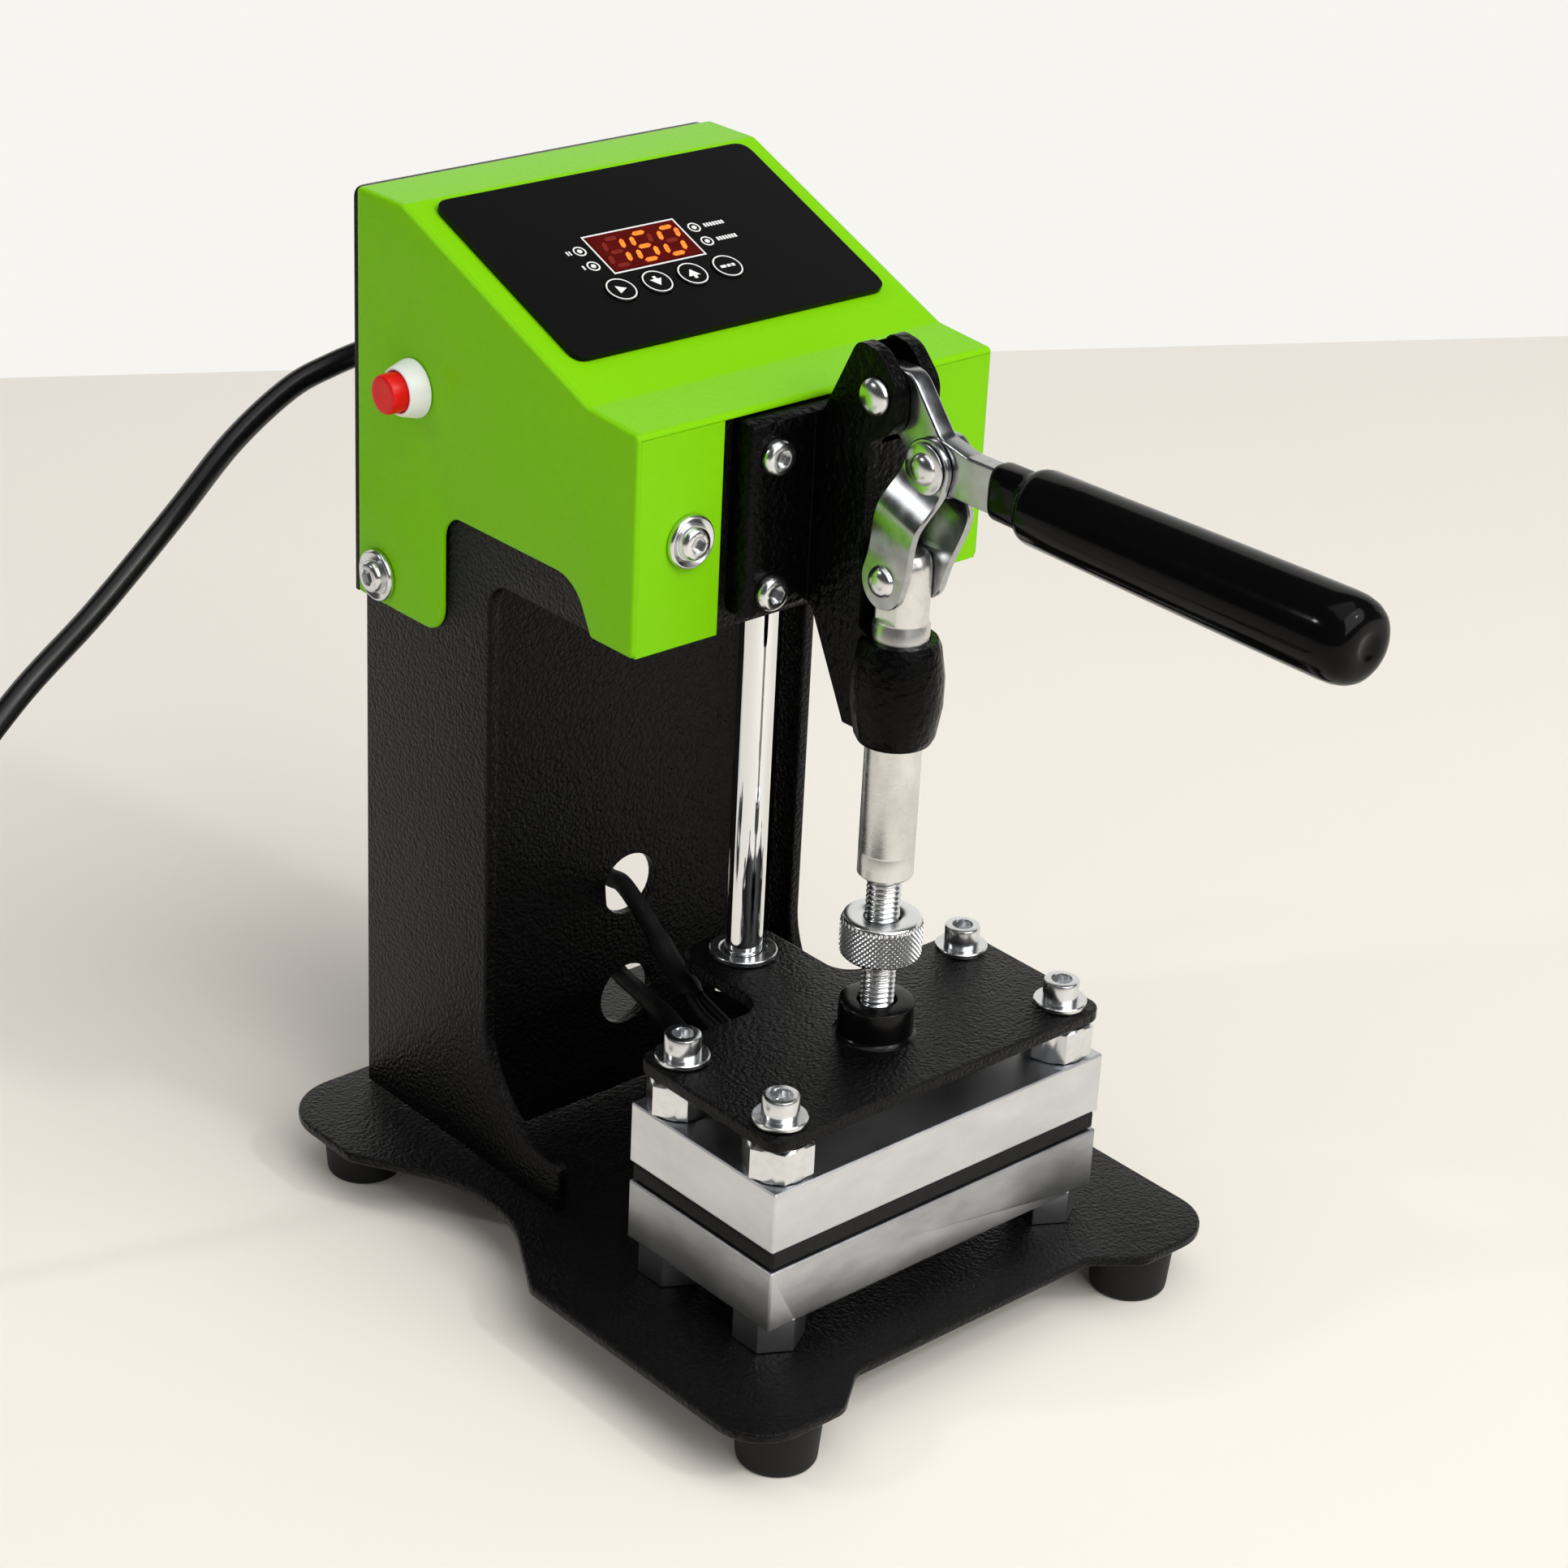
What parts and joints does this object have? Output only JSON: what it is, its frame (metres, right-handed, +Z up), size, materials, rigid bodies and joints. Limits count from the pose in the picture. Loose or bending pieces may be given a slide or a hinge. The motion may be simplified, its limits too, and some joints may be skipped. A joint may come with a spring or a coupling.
{
  "type": "mini heat press",
  "caption": "Mini heat press: toggle clamp lowers a heated platen onto a lower one on a flat base; green sheet metal control housing on a C-frame column.",
  "frame": {"origin": "On the floor under the middle of the press without its cord.", "axes": "Z up. The grip and the front of the press face -Y; +X is on the right of someone who stands in front of the press and looks at it."},
  "size_m": [0.436, 0.3714, 0.2905],
  "materials": {
    "powder_black": "black hammer-texture powder coat, semi-gloss",
    "cast_black": "black enamel over a casting, gloss",
    "green": "lime green powder coat, gloss",
    "overlay": "black polyester membrane, satin",
    "display": "dark red window, gloss",
    "key": "black membrane key, satin",
    "board": "solder mask, satin",
    "white": "white moulded, satin gloss",
    "red": "red moulded, gloss",
    "aluminium": "milled, satin",
    "zinc": "zinc-plated, bright satin",
    "chrome": "polished chrome",
    "steel": "turned, bright",
    "bronze": "sintered, dull",
    "rubber": "matt black",
    "vinyl": "dipped vinyl, gloss",
    "silicone": "matt black silicone"
  },
  "bodies": {
    "frame": {"foot_front_left": "rubber", "foot_front_right": "rubber", "foot_rear_left": "rubber", "foot_rear_right": "rubber", "base_plate": "powder_black", "side_plate_left": "powder_black", "side_plate_right": "powder_black", "column_web": "powder_black", "head_bracket": "powder_black", "back_panel": "powder_black", "guide_bush": "bronze", "housing": "green", "side_screw_left": "zinc", "side_screw_right": "zinc", "front_screw_left": "zinc", "front_screw_right": "zinc", "clamp_body": "cast_black", "clamp_screw_low_left": "zinc", "clamp_screw_low_right": "zinc", "clamp_screw_high_left": "zinc", "clamp_screw_high_right": "zinc", "upper_pivot_pin": "zinc", "lower_platen": "aluminium", "platen_pad": "silicone", "overlay_panel": "overlay", "display_window": "display", "control_board": "board", "switch_bezel": "white", "heater_cable_riser": "rubber", "heater_cable_upper": "rubber", "heater_cable_lower": "rubber", "cord_gland": "rubber", "power_cord": "rubber", "cord_coil": "rubber", "plug": "rubber"},
    "handle": {"handle_lever": "zinc", "handle_grip": "vinyl", "knee_pin": "zinc"},
    "links": {"link_left": "zinc", "link_right": "zinc"},
    "plunger": {"plunger": "steel"},
    "carriage": {"pressure_plate": "powder_black", "guide_rod": "chrome", "rod_washer": "zinc", "upper_platen": "aluminium", "platen_bolt_front_left": "zinc", "platen_bolt_front_right": "zinc", "platen_bolt_back_left": "zinc", "platen_bolt_back_right": "zinc", "standoff_front_left": "zinc", "standoff_front_right": "zinc", "standoff_back_left": "zinc", "standoff_back_right": "zinc"},
    "adjuster": {"adjuster_stud": "zinc", "knurled_nut": "zinc"},
    "button": {"switch_button": "red"},
    "key_1_body": {"key_1": "key"},
    "key_2_body": {"key_2": "key"},
    "key_3_body": {"key_3": "key"},
    "key_4_body": {"key_4": "key"}
  },
  "joints": [
    {"name": "handle_swing", "type": "hinge", "parent": "frame", "child": "handle", "pos_m": [0, 0.00155, 0.2645], "axis": [-1, 0, 0], "range_deg": [0, 50]},
    {"name": "link_swing", "type": "hinge", "parent": "handle", "child": "links", "pos_m": [0, -0.01525, 0.2503], "axis": [-1, 0, 0], "range_deg": [-58.8, 0]},
    {"name": "plunger_slide", "type": "slide", "parent": "frame", "child": "plunger", "axis": [0, 0, 1], "range_m": [0, 0.0199], "deforming": ["heater_cable_upper"]},
    {"name": "carriage_slide", "type": "slide", "parent": "plunger", "child": "carriage", "axis": [0, 0, 1], "range_m": [0, 0.003]},
    {"name": "adjuster_spin", "type": "hinge", "parent": "carriage", "child": "adjuster", "pos_m": [0, -0.00525, 0.11475], "axis": [0, 0, 1], "range_deg": [0, 720.5]},
    {"name": "button_press", "type": "slide", "parent": "frame", "child": "button", "axis": [1, 0, 0], "range_m": [0, 0.0025], "stiffness_N_per_m": 400},
    {"name": "key_1_press", "type": "slide", "parent": "frame", "child": "key_1_body", "axis": [0, 0.3796, -0.9252], "range_m": [0, 0.0004], "stiffness_N_per_m": 500},
    {"name": "key_2_press", "type": "slide", "parent": "frame", "child": "key_2_body", "axis": [0, 0.3796, -0.9252], "range_m": [0, 0.0004], "stiffness_N_per_m": 500},
    {"name": "key_3_press", "type": "slide", "parent": "frame", "child": "key_3_body", "axis": [0, 0.3796, -0.9252], "range_m": [0, 0.0004], "stiffness_N_per_m": 500},
    {"name": "key_4_press", "type": "slide", "parent": "frame", "child": "key_4_body", "axis": [0, 0.3796, -0.9252], "range_m": [0, 0.0004], "stiffness_N_per_m": 500}
  ],
  "couplings": [
    {"joint": "link_swing", "follows": "handle_swing", "ratio": -1.1751},
    {"joint": "plunger_slide", "follows": "handle_swing", "m_per_rad": 0.022743},
    {"joint": "adjuster_spin", "follows": "carriage_slide", "rad_per_m": 4188.8}
  ]
}
